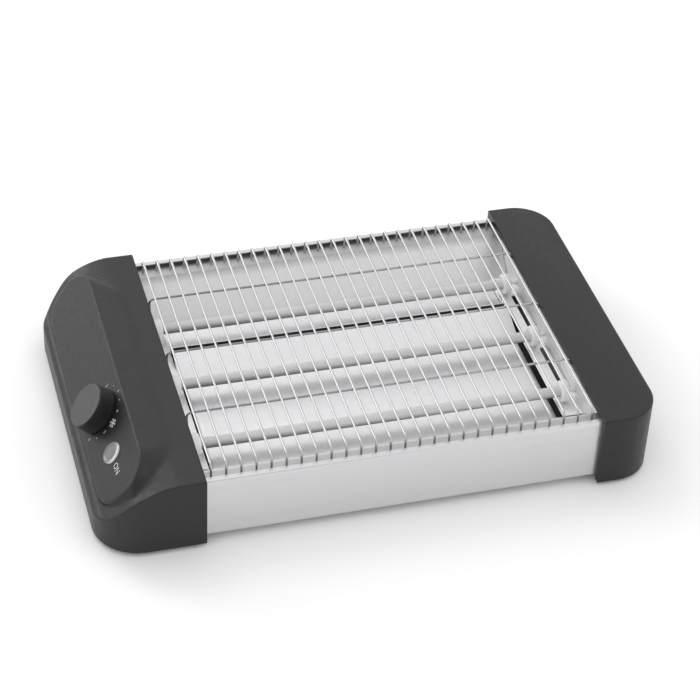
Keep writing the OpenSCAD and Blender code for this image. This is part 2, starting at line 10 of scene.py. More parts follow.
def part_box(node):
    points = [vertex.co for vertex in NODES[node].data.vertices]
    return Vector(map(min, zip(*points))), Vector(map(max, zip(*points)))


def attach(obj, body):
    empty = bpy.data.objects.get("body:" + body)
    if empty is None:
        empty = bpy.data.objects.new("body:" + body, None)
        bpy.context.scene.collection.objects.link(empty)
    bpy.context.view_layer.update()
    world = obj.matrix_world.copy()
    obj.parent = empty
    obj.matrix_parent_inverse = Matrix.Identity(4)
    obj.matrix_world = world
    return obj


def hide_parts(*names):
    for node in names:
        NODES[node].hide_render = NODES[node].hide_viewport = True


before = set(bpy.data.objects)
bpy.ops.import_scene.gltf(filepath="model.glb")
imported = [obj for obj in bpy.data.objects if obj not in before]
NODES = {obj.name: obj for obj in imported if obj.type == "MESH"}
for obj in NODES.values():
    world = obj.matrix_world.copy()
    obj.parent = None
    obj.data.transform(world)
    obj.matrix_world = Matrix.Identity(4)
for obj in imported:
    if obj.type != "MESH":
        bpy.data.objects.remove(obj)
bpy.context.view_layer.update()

bl_info = {
    "name": "Flat toaster looks",
    "version": (1, 0, 0),
    "blender": (4, 5, 0),
    "location": "3D View > Sidebar > Toaster",
    "description": "Dresses the packed flat toaster with moulded, sheet metal and control details",
    "category": "Object",
}

MM = 0.001

# tolerance for picking edges by their place
NEAR = 0.01 * MM

FRONT_LOW, FRONT_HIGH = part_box("front_panel")
REAR_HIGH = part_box("rear_panel")[1]
LEFT_LOW, LEFT_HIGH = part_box("left_end_cap")
RIGHT_LOW, RIGHT_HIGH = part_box("right_end_cap")

# middle of the steel body, at the lower edge of the end caps
HOME = Vector(((FRONT_LOW.x + FRONT_HIGH.x) / 2, (FRONT_LOW.y + REAR_HIGH.y) / 2, LEFT_LOW.z))

# tubes by name, with their places in steps of the tube spacing
TUBES = (("rear", 1), ("middle", 0), ("front", -1))

# noise scale along each axis of sheet that was rolled along x
ROLLED = (6, 700, 700)


def length(millimetres, description):
    """A size for the sidebar, given in millimetres."""
    return FloatProperty(default=millimetres * MM, description=description, unit="LENGTH", precision=5)


def angle(degrees, description):
    """An angle for the sidebar, given in degrees."""
    return FloatProperty(default=math.radians(degrees), description=description, unit="ROTATION")


def colour(default, description):
    """A linear colour for the sidebar."""
    return FloatVectorProperty(default=default, description=description, subtype="COLOR", min=0, max=1)


class ToasterSizes(bpy.types.PropertyGroup):
    """Sizes that the modelled pieces are made from."""
    body_length: length((RIGHT_LOW.x - LEFT_HIGH.x) / MM, "Steel that shows between the caps")
    body_depth: length((REAR_HIGH.y - FRONT_LOW.y) / MM, "Depth over the front and rear panels")
    panel_top: length((FRONT_HIGH.z - LEFT_LOW.z) / MM, "Top of the panels above the caps' lower edge")
    cap_depth: length((LEFT_HIGH.y - LEFT_LOW.y) / MM, "Depth of both end caps")
    cap_height: length((RIGHT_HIGH.z - RIGHT_LOW.z) / MM, "Height of the flat top of the caps")
    wall: length(2.5, "Wall of the mouldings")
    housing_length: length((LEFT_HIGH.x - LEFT_LOW.x) / MM, "Length of the control housing")
    housing_corner: length(31, "Radius of its upright outer corners")
    flat_length: length(17.5, "Flat part of its top, next to the steel")
    bend_radius: length(45, "Radius between the flat top and the slope")
    slope: angle(50, "Fall of the outer slope")
    rim_height: length(20, "Height of the outer rim")
    rim_fillet: length(6, "Radius between the slope and the rim")
    skirt_fall: angle(17.4, "Tilt of the skirt's outline")
    skirt_radius: length(38, "Radius of the skirt's outline at its ends")
    skirt_edge: length(16, "Straight edge of the skirt, from the steel")
    skirt_half: length(118, "Reach of the control panel's skirt from the middle")
    panel_edge: length(3, "Rounding of the control panel's lower edge")
    panel_width: length(46, "Width of the control panel")
    panel_length: length(227, "Length of the control panel")
    panel_tilt: angle(50, "Tilt of the control panel")
    ridge_place: length(37, "Upper edge of the control panel, from the steel")
    ridge_rise: length(6.6, "Upper edge of the control panel, above the flat top")
    edge_grain: length(0.7, "Cell of the remesh that softens its edges")
    plain_corner: length(27.5, "Radius of the plain cap's upright corners")
    plain_edge: length(1.8, "Radius of the plain cap's top edge")
    knob_diameter: length(33, "Diameter of the timer knob at its foot")
    knob_draft: length(0.9, "How far the knob's side leans in towards its top")
    knob_height: length(12.6, "Height of the timer knob")
    knob_gap: length(0.5, "Gap between the knob and the control panel")
    knob_place: length(-30.3, "Place of the knob along the control panel")
    knob_cells: IntProperty(default=80, description="Knurls around the knob", min=24, max=200)
    lens_diameter: length(15.4, "Diameter of the pilot lens")
    lens_place: length(-72.4, "Place of the pilot lens along the control panel")
    dial_radius: length(19.6, "Radius of the ring of dial marks")
    dial_digit: length(2.4, "Height of the dial digits")
    word_height: length(4.4, "Height of the word ON")
    thaw_size: length(6.6, "Size of the thaw mark")
    sheet: length(0.8, "Thickness of the sheet of the end plates")
    shelf_reach: length(80.2, "Reach of the shelves from the middle")
    shelf_slot: length(52, "Length of the slots in the shelves")
    trough_floor: length(20.1, "Floor of the trough above the caps' lower edge")
    bush_thickness: length(6, "Thickness of the bushes' discs")
    tube_spacing: length(63, "Distance between neighbouring tubes")
    tube_height: length(31, "Tube centres above the caps' lower edge")
    coil_radius: length(2.35, "Middle radius of the heating coils")
    coil_wire: length(0.6, "Diameter of the coils' wire")
    coil_pitch: length(1.0, "Distance between the turns of a coil")
    coil_half: length(117, "Reach of the coils from the middle")


class ToasterColours(bpy.types.PropertyGroup):
    """Linear base colours of the finishes."""
    housing: colour((0.012, 0.012, 0.013), "Moulded dark grey plastic")
    # knob: dark plastic, darkened further as painted shade on the knurled side; knob top: painted highlight
    knob: colour((0.005, 0.005, 0.006), "Knob plastic")
    knob_top_painted_light: colour((0.068, 0.068, 0.070), "Paler top of the knob")
    steel: colour((0.66, 0.66, 0.67), "Satin steel")
    inner: colour((0.92, 0.92, 0.92), "Plain steel inside")
    quartz: colour((0.86, 0.86, 0.86), "Milky quartz")
    reflector: colour((0.84, 0.84, 0.85), "Bright rolled sheet")
    chrome: colour((0.55, 0.55, 0.56), "Chromed wire")
    # painted shade: the dark tone of the cross wires at their left ends
    cross: colour((0.26, 0.26, 0.27), "Duller wire under the grill")
    # painted shade: the floor of the steel body is made near black for the deep shade seen through the slots
    base: colour((0.06, 0.06, 0.06), "Dark coated floor of the steel body")
    tray: colour((0.12, 0.12, 0.12), "Dark coated crumb tray")
    tube_dark: colour((0.22, 0.22, 0.22), "Shaded lower side of the tubes")
    dull: colour((0.16, 0.16, 0.16), "Unfinished inner side of the rear panel")
    # painted shade: the dark gap behind the rear flange, painted on the panel's inner side
    coil: colour((0.34, 0.335, 0.33), "Oxidised resistance wire")
    brass: colour((0.72, 0.55, 0.26), "Links between the ends of the elements")
    case: colour((0.42, 0.41, 0.38), "Timer and lamp holder")
    ceramic: colour((0.96, 0.955, 0.945), "White ceramic")
    rubber: colour((0.03, 0.03, 0.03), "Feet and gland")
    lens: colour((0.11, 0.11, 0.115), "Smoky pilot lens")
    # painted highlight: the light crescent at the lens's front edge
    gleam: colour((0.75, 0.75, 0.76), "Light gathered at the edge of the lens")
    print_white: colour((0.80, 0.80, 0.79), "Printed marks")
    floor: colour((0.95, 0.95, 0.95), "Floor of the stage")


def sizes():
    """The size settings of this scene."""
    return bpy.context.scene.toaster_sizes


def colours():
    """The colour settings of this scene."""
    return bpy.context.scene.toaster_colours


def at(x, y, z):
    """A place given from the middle of the steel body."""
    return HOME + Vector((x, y, z))


def alone(ob):
    """Leaves one object selected and active."""
    bpy.ops.object.select_all(action="DESELECT")
    ob.select_set(True)
    bpy.context.view_layer.objects.active = ob


def settle(ob, matrix=None):
    """Moves a piece by a matrix and puts its place into its mesh."""
    if matrix is not None:
        ob.matrix_world = matrix @ ob.matrix_world
    alone(ob)
    bpy.ops.object.transform_apply()
    return ob


def added(operator, **settings):
    """Adds an object with an operator and returns it."""
    bpy.ops.object.select_all(action="DESELECT")
    operator(**settings)
    return bpy.context.object


def block(name, low, high):
    """A cuboid between two corners, as a start for a piece or a cutter."""
    low, high = Vector(low), Vector(high)
    ob = added(bpy.ops.mesh.primitive_cube_add, size=1, location=(low + high) / 2)
    ob.name = name
    ob.scale = high - low
    return settle(ob)


def drum(name, radius, low, high, vertices=96):
    """An upright cylinder on the z axis, from low to high, with no vertex on the plane y = 0."""
    ob = added(bpy.ops.mesh.primitive_cylinder_add, vertices=vertices, radius=radius, depth=high - low,
               location=(0, 0, (low + high) / 2), rotation=(0, 0, math.pi / vertices))
    ob.name = name
    return settle(ob)


def choose(ob, kind, test):
    """Selects just the edges or faces that pass a test, and enters edit mode."""
    alone(ob)
    bpy.ops.object.mode_set(mode="EDIT")
    bpy.ops.mesh.select_mode(type=kind)
    bpy.ops.mesh.select_all(action="DESELECT")
    bpy.ops.object.mode_set(mode="OBJECT")
    mesh = ob.data
    if kind == "EDGE":
        for e in mesh.edges:
            e.select = bool(test(mesh.vertices[e.vertices[0]].co, mesh.vertices[e.vertices[1]].co))
    else:
        for f in mesh.polygons:
            f.select = bool(test(f.center, f.normal))
    bpy.ops.object.mode_set(mode="EDIT")


def choose_all(ob):
    """Selects all faces of a piece, and enters edit mode."""
    choose(ob, "FACE", lambda centre, direction: True)


def choose_facing(ob, side):
    """Selects the faces that look straight up (side 1) or down (side -1), and enters edit mode."""
    choose(ob, "FACE", lambda centre, direction: direction.z * side > 0.99)


def done():
    """Leaves edit mode."""
    bpy.ops.object.mode_set(mode="OBJECT")


def close(a, b):
    """Whether two places on an axis are the same, within the tolerance."""
    return abs(a - b) < NEAR


def stands_up(a, b):
    """Whether an edge runs up a wall: it rises by more than any rounding does."""
    return abs(a.z - b.z) > 10 * MM


def bevel_edges(ob, test, width, segments):
    """Rounds the edges that pass a test."""
    choose(ob, "EDGE", test)
    bpy.ops.mesh.bevel(offset=width, segments=segments)
    done()


def slice_off(ob, point, normal):
    """Cuts away what lies on the far side of a plane and closes the cut."""
    choose_all(ob)
    bpy.ops.mesh.bisect(plane_co=point, plane_no=normal, use_fill=True, clear_outer=True)
    done()


def stretch(ob, half):
    """Draws a round drum out along y into a bar with round ends."""
    for v in ob.data.vertices:
        v.co.y += math.copysign(half, v.co.y)


def finish_modifier(ob, kind, **settings):
    """Adds a modifier with these settings and applies it."""
    modifier = ob.modifiers.new(kind.lower(), kind)
    for key, value in settings.items():
        setattr(modifier, key, value)
    alone(ob)
    bpy.ops.object.modifier_apply(modifier=modifier.name)


def carve(ob, tool, operation):
    """Joins, cuts or crosses a piece with another one, which is used up."""
    finish_modifier(ob, "BOOLEAN", object=tool, operation=operation, solver="EXACT")
    bpy.data.objects.remove(tool)


def join(pieces, name):
    """Joins separate meshes into one piece."""
    alone(pieces[0])
    for piece in pieces[1:]:
        piece.select_set(True)
    bpy.ops.object.join()
    pieces[0].name = name
    return pieces[0]


def smooth(ob, degrees=35):
    """Shades a piece smooth, apart from edges sharper than an angle."""
    alone(ob)
    bpy.ops.object.shade_smooth_by_angle(angle=math.radians(degrees))


def copy_piece(ob, name, matrix):
    """A copy with its own mesh, moved by a matrix."""
    twin = ob.copy()
    twin.data = ob.data.copy()
    twin.name = name
    bpy.context.collection.objects.link(twin)
    return settle(twin, matrix)


def dress(ob, material, body, slot, *nodes):
    """Gives a piece its finish, the body it rides on and the CAD nodes it stands for."""
    ob.data.materials.clear()
    ob.data.materials.append(material)
    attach(ob, body)
    if nodes:
        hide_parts(*nodes)


def coat(material, *names):
    """Gives CAD nodes that stay in view their finish."""
    for name in names:
        ob = NODES[name]
        if not ob.material_slots:
            ob.data.materials.append(material)
        for slot in ob.material_slots:
            slot.link = "OBJECT"
            slot.material = material


def control_plane():
    """Frame of the control panel: x up its slope, y to the rear, z out of its face."""
    s = sizes()
    half = s.panel_width / 2
    x = -s.body_length / 2 - s.ridge_place - math.cos(s.panel_tilt) * half
    z = s.cap_height + s.ridge_rise - math.sin(s.panel_tilt) * half
    return Matrix.Translation(at(x, 0, z)) @ Matrix.Rotation(-s.panel_tilt, 4, "Y")


def shade(base, factor):
    """A colour made lighter or darker."""
    return tuple(min(1.0, c * factor) for c in base)


def add_node(tree, kind, **inputs):
    """Adds a shader node. Each input, with _ for a space in its name, takes a value or a link."""
    node = tree.nodes.new("ShaderNode" + kind)
    for key, value in inputs.items():
        socket = node.inputs[key.replace("_", " ")]
        if isinstance(value, bpy.types.NodeSocket):
            tree.links.new(value, socket)
        else:
            socket.default_value = value
    return node


class Nodes:
    """Small builder for a material's node tree, with constants for the shader's own sockets."""

    def __init__(self, name, **constants):
        old = bpy.data.materials.get(name)
        if old:
            bpy.data.materials.remove(old)
        self.material = bpy.data.materials.new(name)
        self.material.use_nodes = True
        self.tree = self.material.node_tree
        self.shader = self.tree.nodes["Principled BSDF"]
        self.coords = add_node(self.tree, "TexCoord").outputs["Object"]
        for key, value in constants.items():
            self.shader.inputs[key.replace("_", " ")].default_value = value

    def drive(self, socket, source):
        """Links a value to one of the shader's sockets."""
        self.tree.links.new(source, self.shader.inputs[socket])

    def mapped(self, scale):
        """Object coordinates stretched by a scale for each axis."""
        return add_node(self.tree, "Mapping", Vector=self.coords, Scale=scale).outputs["Vector"]

    def noise(self, scale, detail=3.0, vector=None, roughness=0.5):
        """Noise on the object coordinates, or on a stretched form of them."""
        node = add_node(self.tree, "TexNoise", Vector=vector or self.coords, Scale=scale, Detail=detail,
                        Roughness=roughness)
        return node.outputs["Fac"]

    def along(self, axis, start, end):
        """Runs from 0 to 1 between two places on an axis."""
        split = add_node(self.tree, "SeparateXYZ", Vector=self.coords)
        return self.spread(split.outputs[axis], 0.0, 1.0, start, end)

    def measure(self, operation, other):
        """Distance from a place, or height along a direction."""
        node = add_node(self.tree, "VectorMath", Vector=self.coords)
        node.operation = operation
        node.inputs[1].default_value = other
        return node.outputs["Value"]

    def add(self, value, other, factor):
        """A value plus a share of another one."""
        node = self.tree.nodes.new("ShaderNodeMath")
        node.operation = "MULTIPLY_ADD"
        node.inputs[1].default_value = factor
        self.tree.links.new(other, node.inputs[0])
        self.tree.links.new(value, node.inputs[2])
        return node.outputs[0]

    def spread(self, value, low, high, start=0.3, end=0.7):
        """Maps a texture's middle range to low and high."""
        node = add_node(self.tree, "MapRange", Value=value, From_Min=start, From_Max=end, To_Min=low,
                        To_Max=high)
        return node.outputs["Result"]

    def two_tones(self, value, dark, light, start=0.3, end=0.7):
        """A colour that runs from dark to light with a texture."""
        ramp = add_node(self.tree, "ValToRGB", Fac=value)
        for element, place, tone in zip(ramp.color_ramp.elements, (start, end), (dark, light)):
            element.position = place
            element.color = (*tone, 1)
        self.drive("Base Color", ramp.outputs["Color"])

    def varied(self, value, base, low, high):
        """A base colour made darker and lighter by a texture."""
        self.two_tones(value, shade(base, low), shade(base, high))

    def rough(self, value, low, high):
        """Roughness that varies with a texture."""
        self.drive("Roughness", self.spread(value, low, high))

    def bump(self, value, strength, distance):
        """Relief in the shading from a texture."""
        node = add_node(self.tree, "Bump", Strength=strength, Distance=distance, Height=value)
        self.drive("Normal", node.outputs["Normal"])

    def grained(self, rough=0.42, grain=1600):
        """Sheen and spark-eroded grain of moulded plastic."""
        self.rough(self.noise(240), rough - 0.05, rough + 0.07)
        self.bump(self.noise(grain, detail=2), strength=0.05, distance=0.02 * MM)

    def brushed(self, rough, lay=ROLLED):
        """Sheen and relief of fine lines, which are also returned."""
        lines = self.noise(1.0, detail=5, vector=self.mapped(lay), roughness=0.6)
        self.rough(lines, rough - 0.03, rough + 0.05)
        self.bump(lines, strength=0.03, distance=0.02 * MM)
        return lines


def moulded(name, base, rough=0.42, grain=1600):
    """Matt moulded plastic with a fine spark-eroded grain."""
    n = Nodes(name, Specular_IOR_Level=0.4)
    n.varied(n.noise(60, detail=4), base, 0.93, 1.07)
    n.grained(rough, grain)
    return n.material


def knob_with_painted_light(name, side, top):
    """Knob plastic with painted shade on the knurled side and a painted highlight on its flat top."""
    s = sizes()
    n = Nodes(name, Specular_IOR_Level=0.3)
    plane = control_plane()
    axis = plane.to_3x3() @ Vector((0, 0, 1))
    height = axis.dot(plane.translation) + s.knob_gap + s.knob_height
    place = n.spread(n.measure("DOT_PRODUCT", axis), 0.0, 1.0, height - 0.6 * MM, height - 0.2 * MM)
    # painted light: the flat top takes the painted highlight colour, the side the painted shade colour
    n.two_tones(n.add(place, n.noise(60, detail=4), 0.08), side, top, 0.0, 1.08)
    n.grained()
    return n.material


def satin_steel(name, base, rough=0.3, lay=ROLLED):
    """Rolled sheet with fine lines along its length."""
    n = Nodes(name, Metallic=1.0)
    n.varied(n.brushed(rough, lay), base, 0.98, 1.02)
    return n.material


def lined_steel(name, inside, base):
    """Satin rear panel with painted shade on its inner side, below the flange, for the dark gap behind it.
    """
    n = Nodes(name, Metallic=1.0)
    face = n.along("Y", REAR_HIGH.y - 0.6 * MM, REAR_HIGH.y - 0.2 * MM)
    flange = n.along("Z", REAR_HIGH.z - 1.3 * MM, REAR_HIGH.z - 0.9 * MM)
    # painted shade: the inner side below the flange takes the dark colour
    n.two_tones(n.add(face, flange, 1.0), inside, base, 0.0, 1.0)
    n.brushed(0.31)
    return n.material


def bright_sheet(name, base):
    """Semi-bright reflector sheet with the slight waves of rolling and painted shade on its rims."""
    n = Nodes(name, Metallic=1.0)
    # painted shade: the sheet darkens towards its front and rear rims
    front_rim_shade = n.along("Y", FRONT_LOW.y + 13 * MM, FRONT_LOW.y + 16 * MM)
    rear_rim_shade = n.along("Y", REAR_HIGH.y - 15 * MM, REAR_HIGH.y - 20 * MM)
    inside = n.add(n.add(front_rim_shade, rear_rim_shade, 1.0), n.noise(300, detail=4), 0.15)
    n.two_tones(n.spread(inside, 0.0, 1.0, 1.0, 2.1), shade(base, 0.56), shade(base, 1.02), 0.0, 1.0)
    n.rough(n.noise(80), 0.48, 0.56)
    n.bump(n.noise(420), strength=0.12, distance=0.1 * MM)
    return n.material


def plated_wire(name, base):
    """Chromed wire with slight drawing marks."""
    n = Nodes(name, Metallic=1.0)
    marks = n.noise(420)
    n.varied(marks, base, 0.94, 1.03)
    n.rough(marks, 0.34, 0.44)
    return n.material


def wire_with_painted_shade(name, left, right):
    """Wire with painted shade at its left end, running to bright at its right end."""
    n = Nodes(name, Metallic=1.0)
    reach = sizes().body_length / 2
    # painted shade, darkest at the left end
    place = n.add(n.along("X", HOME.x - reach, HOME.x + reach), n.noise(300), 0.12)
    n.two_tones(place, left, right, 0.1, 1.0)
    n.rough(n.noise(420), 0.25, 0.35)
    return n.material


def milky(name, dark, light):
    """Milky quartz that is shaded on its lower side, most of all near its left end."""
    n = Nodes(name, Transmission_Weight=0.3, IOR=1.45)
    s = sizes()
    height = HOME.z + s.tube_height
    across = n.along("Z", height - 3 * MM, height + 3 * MM)
    place = n.add(across, n.along("X", HOME.x - s.coil_half, HOME.x + s.coil_half), 0.4)
    n.two_tones(place, dark, light, 0.4, 1.05)
    n.rough(n.noise(1.0, vector=n.mapped((5, 900, 900))), 0.3, 0.4)
    return n.material


def oxidised(name, base):
    """Resistance wire with its dull oxide skin."""
    n = Nodes(name, Metallic=0.6)
    spots = n.noise(500)
    n.varied(spots, base, 0.8, 1.25)
    n.rough(spots, 0.42, 0.62)
    return n.material


def glazed(name, base):
    """White ceramic, slightly glossy and speckled."""
    n = Nodes(name, Coat_Weight=0.15, Coat_Roughness=0.2)
    n.varied(n.noise(700, detail=2), base, 0.96, 1.02)
    n.rough(n.noise(150, detail=2), 0.38, 0.5)
    n.bump(n.noise(900, detail=2), strength=0.08, distance=0.05 * MM)
    return n.material


def printed(name, base):
    """White print with the slight unevenness of its ink."""
    n = Nodes(name)
    n.varied(n.noise(1500, detail=2), base, 0.93, 1.03)
    n.rough(n.noise(900, detail=2), 0.45, 0.6)
    return n.material


def smoky(name, base, gleam):
    """Translucent smoky lens with a painted highlight in a crescent at its front edge."""
    s = sizes()
    n = Nodes(name, Coat_Weight=0.6, Coat_Roughness=0.12, Subsurface_Weight=0.1)
    radius = s.lens_diameter / 2
    # painted highlight: centre and reach of the crescent
    middle = control_plane() @ Vector((-0.1 * radius, s.lens_place + 0.2 * radius, MM))
    place = n.spread(n.measure("DISTANCE", middle), 0.0, 1.0, 1.0 * radius, 1.16 * radius)
    n.two_tones(n.add(place, n.noise(160, detail=2), 0.06), base, gleam, 0.0, 1.06)
    n.rough(n.noise(300, detail=2), 0.3, 0.42)
    return n.material


class TOASTER_OT_housing(bpy.types.Operator):
    """Model the moulded control housing with its slope, rim and raised tilted panel"""
    bl_idname = "toaster.housing"
    bl_label = "Control housing"

    # length to spare where the slope is cut, and height of the plan
    slope_spare = 40 * MM
    plan_height = 90 * MM

    # the raised panel, and how far up its lower edge is rounded
    panel_depth = 12 * MM
    panel_rounded = 6 * MM

    # outline of the skirt, below its plane
    skirt_low = -0.4 * MM
    skirt_high = -0.2 * MM
    skirt_reach = 30 * MM

    # blend of the skirt into the flat top
    blend_start = 8 * MM
    blend_rise = 14 * MM
    blend_width = 8 * MM
    blend_core = 1.6
    blend_rounds = 160

    triangles = 90000

    def shell(self, inset):
        """Flat top, bend, slope and rim inside the rounded plan, drawn in by an inset."""
        s = sizes()
        x1 = -s.body_length / 2 - inset
        x0 = -s.body_length / 2 - s.housing_length + inset
        y = s.cap_depth / 2 - inset
        z0 = -MM if inset else 0
        top = s.cap_height - inset
        rim_top = s.rim_height - inset
        out = Vector((-math.sin(s.slope), 0, math.cos(s.slope)))
        bend = s.bend_radius - inset
        middle = Vector((-s.body_length / 2 - s.flat_length, 0, s.cap_height - s.bend_radius))
        touch = middle + out * bend
        ob = block("control_housing", at(x0 - self.slope_spare, -y, z0), at(x1, y, top))
        slice_off(ob, HOME + touch, out)
        bevel_edges(ob, lambda a, b: close(a.z, b.z) and close(a.x, b.x) and close(a.z, HOME.z + top) and
                    a.x < HOME.x + x1 - MM, bend * math.tan(s.slope / 2), segments=20)
        carve(ob, block("rim", at(x0, -y, z0), at(x1, y, rim_top)), "UNION")
        foot = touch.x - (touch.z - rim_top) / math.tan(s.slope)
        bevel_edges(ob, lambda a, b: all(close(p.x, HOME.x + foot) and close(p.z, HOME.z + rim_top)
                                         for p in (a, b)), s.rim_fillet * math.tan(s.slope / 2), segments=6)
        plan = block("plan", at(x0, -y, -2 * MM), at(x1 + MM, y, self.plan_height))
        bevel_edges(plan, lambda a, b: stands_up(a, b) and a.x < HOME.x + x0 + MM,
                    s.housing_corner - inset, segments=24)
        carve(ob, plan, "INTERSECT")
        return ob

    def raised_panel(self):
        """Control panel with the skirt that runs down from it to the flat top and to the bend."""
        s = sizes()
        ob = drum("panel", s.panel_width / 2, -self.panel_depth, 0)
        stretch(ob, (s.panel_length - s.panel_width) / 2)
        bevel_edges(ob, lambda a, b: min(a.z, b.z) > -NEAR and max(a.x, b.x) < self.panel_rounded,
                    s.panel_edge, segments=6)
        settle(ob, control_plane())
        foot = drum("foot", s.skirt_radius, self.skirt_low, self.skirt_high)
        stretch(foot, s.skirt_half - s.skirt_radius)
        settle(foot, Matrix.Translation((-s.skirt_radius, 0, 0)))
        edge = at(-s.body_length / 2 - s.skirt_edge, 0, s.cap_height)
        settle(foot, Matrix.Translation(edge) @ Matrix.Rotation(-s.skirt_fall, 4, "Y"))
        slice_off(foot, edge - Vector((self.skirt_reach, 0, 0)), (-1, 0, 0))
        join([ob, foot], "panel")
        choose_all(ob)
        bpy.ops.mesh.convex_hull()
        done()
        return ob

    def execute(self, context):
        s = sizes()
        ob = self.shell(0.0)
        carve(ob, self.raised_panel(), "UNION")
        carve(ob, self.shell(s.wall), "DIFFERENCE")
        mouth = block("mouth", at(-s.body_length / 2 - 2 * s.wall, -s.body_depth / 2, -MM),
                      at(-s.body_length / 2 + MM, s.body_depth / 2, s.panel_top))
        carve(ob, mouth, "DIFFERENCE")
        finish_modifier(ob, "REMESH", mode="VOXEL", voxel_size=s.edge_grain)
        finish_modifier(ob, "SMOOTH", iterations=5)
        self.soften(ob)
        finish_modifier(ob, "DECIMATE", ratio=self.triangles / (2 * len(ob.data.polygons)))
        alone(ob)
        bpy.ops.object.shade_smooth()
        finish_modifier(ob, "WEIGHTED_NORMAL", keep_sharp=False)
        dress(ob, moulded("moulded housing", colours().housing), "frame", "housing_plastic", "left_end_cap")
        return {"FINISHED"}

    def soften(self, ob):
        """Blends the skirt of the control panel into the flat top."""
        s = sizes()
        group = ob.vertex_groups.new(name="skirt")
        centre = -s.body_length / 2 - s.skirt_edge - s.skirt_radius
        half = s.skirt_half - s.skirt_radius
        for v in ob.data.vertices:
            co = v.co - HOME
            inner = (co.x - centre - self.blend_start) / self.blend_rise
            if v.normal.z < 0.5 or inner < 0:
                continue
            along = max(-half, min(half, co.y))
            away = math.hypot(co.x - centre, co.y - along) - s.skirt_radius
            weight = min(1.0, inner) * min(1.0, self.blend_core * (1 - abs(away) / self.blend_width))
            if weight > 0:
                group.add([v.index], weight, "REPLACE")
        finish_modifier(ob, "SMOOTH", iterations=self.blend_rounds, vertex_group="skirt")
        ob.vertex_groups.clear()


class TOASTER_OT_plain_cap(bpy.types.Operator):
    """Model the plain moulded end cap with its rounded corners and top edge"""
    bl_idname = "toaster.plain_cap"
    bl_label = "Plain end cap"

    # rounding of the edge towards the steel, and how near to the outside it stays
    mouth_edge = 0.4 * MM
    mouth_outer = 3 * MM

    def execute(self, context):
        s = sizes()
        x0 = s.body_length / 2
        x1 = RIGHT_HIGH.x - HOME.x
        y = s.cap_depth / 2
        ob = block("plain_cap", at(x0, -y, 0), at(x1, y, s.cap_height))
        bevel_edges(ob, lambda a, b: stands_up(a, b) and a.x > HOME.x + x1 - MM, s.plain_corner, segments=28)
        bevel_edges(ob, lambda a, b: min(a.z, b.z) > HOME.z + s.cap_height - NEAR and
                    max(a.x, b.x) > HOME.x + x0 + MM, s.plain_edge, segments=6)
        hollow = block("hollow", at(x0 + s.wall, -y + s.wall, -MM),
                       at(x1 - s.wall, y - s.wall, s.cap_height - s.wall))
        bevel_edges(hollow, lambda a, b: stands_up(a, b) and a.x > HOME.x + x1 - 2 * s.wall,
                    s.plain_corner - s.wall, segments=12)
        carve(ob, hollow, "DIFFERENCE")
        mouth = block("mouth", at(x0 - MM, -s.body_depth / 2, -MM),
                      at(x0 + 2 * s.wall, s.body_depth / 2, s.panel_top))
        carve(ob, mouth, "DIFFERENCE")
        outer = y - self.mouth_outer
        bevel_edges(ob, lambda a, b: close(a.x, HOME.x + x0) and close(b.x, HOME.x + x0) and
                    (min(a.z, b.z) > HOME.z + s.panel_top + MM or min(abs(a.y), abs(b.y)) > outer),
                    self.mouth_edge, segments=3)
        smooth(ob)
        dress(ob, moulded("moulded cap", colours().housing), "frame", "housing_plastic", "right_end_cap")
        return {"FINISHED"}


class TOASTER_OT_heaters(bpy.types.Operator):
    """Wind the heating coils that lie in the quartz tubes"""
    bl_idname = "toaster.heaters"
    bl_label = "Heating coils"

    # the coil and its straight leads
    wire_sides = 7
    lead_radius = 0.6 * MM
    lead_edge = 0.2 * MM

    def execute(self, context):
        s = sizes()
        core_low, core_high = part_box("element_middle")
        start = HOME.x - s.coil_half
        turns = int(2 * s.coil_half / s.coil_pitch)
        coil = added(bpy.ops.mesh.primitive_circle_add, vertices=self.wire_sides, radius=s.coil_wire / 2,
                     rotation=(math.pi / 2, 0, 0), location=(0, 0, s.coil_radius))
        settle(coil)
        finish_modifier(coil, "SCREW", axis="X", screw_offset=s.coil_pitch, iterations=turns)
        leads = []
        finish = start + turns * s.coil_pitch
        for a, b in ((core_low.x, start + MM), (finish - MM, core_high.x)):
            middle = ((a + b) / 2 - start, 0, 0)
            lead = added(bpy.ops.mesh.primitive_cylinder_add, vertices=16, radius=self.lead_radius,
                         depth=b - a, rotation=(0, math.pi / 2, 0), location=middle)
            settle(lead)
            bevel_edges(lead, lambda p, q: close(p.x, q.x), self.lead_edge, segments=2)
            leads.append(lead)
        coil = join([coil] + leads, "heating_coil")
        choose_all(coil)
        bpy.ops.mesh.fill_holes(sides=8)
        bpy.ops.mesh.normals_make_consistent()
        done()
        smooth(coil)
        wire = oxidised("oxidised coil", colours().coil)
        quartz = milky("milky quartz", colours().tube_dark, colours().quartz)
        for name, step in TUBES:
            place = Matrix.Translation(at(start - HOME.x, step * s.tube_spacing, s.tube_height))
            twin = copy_piece(coil, "heating_coil_" + name, place)
            dress(twin, wire, "frame", "heating_coil", "element_" + name)
            coat(quartz, "tube_" + name)
        bpy.data.objects.remove(coil)
        return {"FINISHED"}


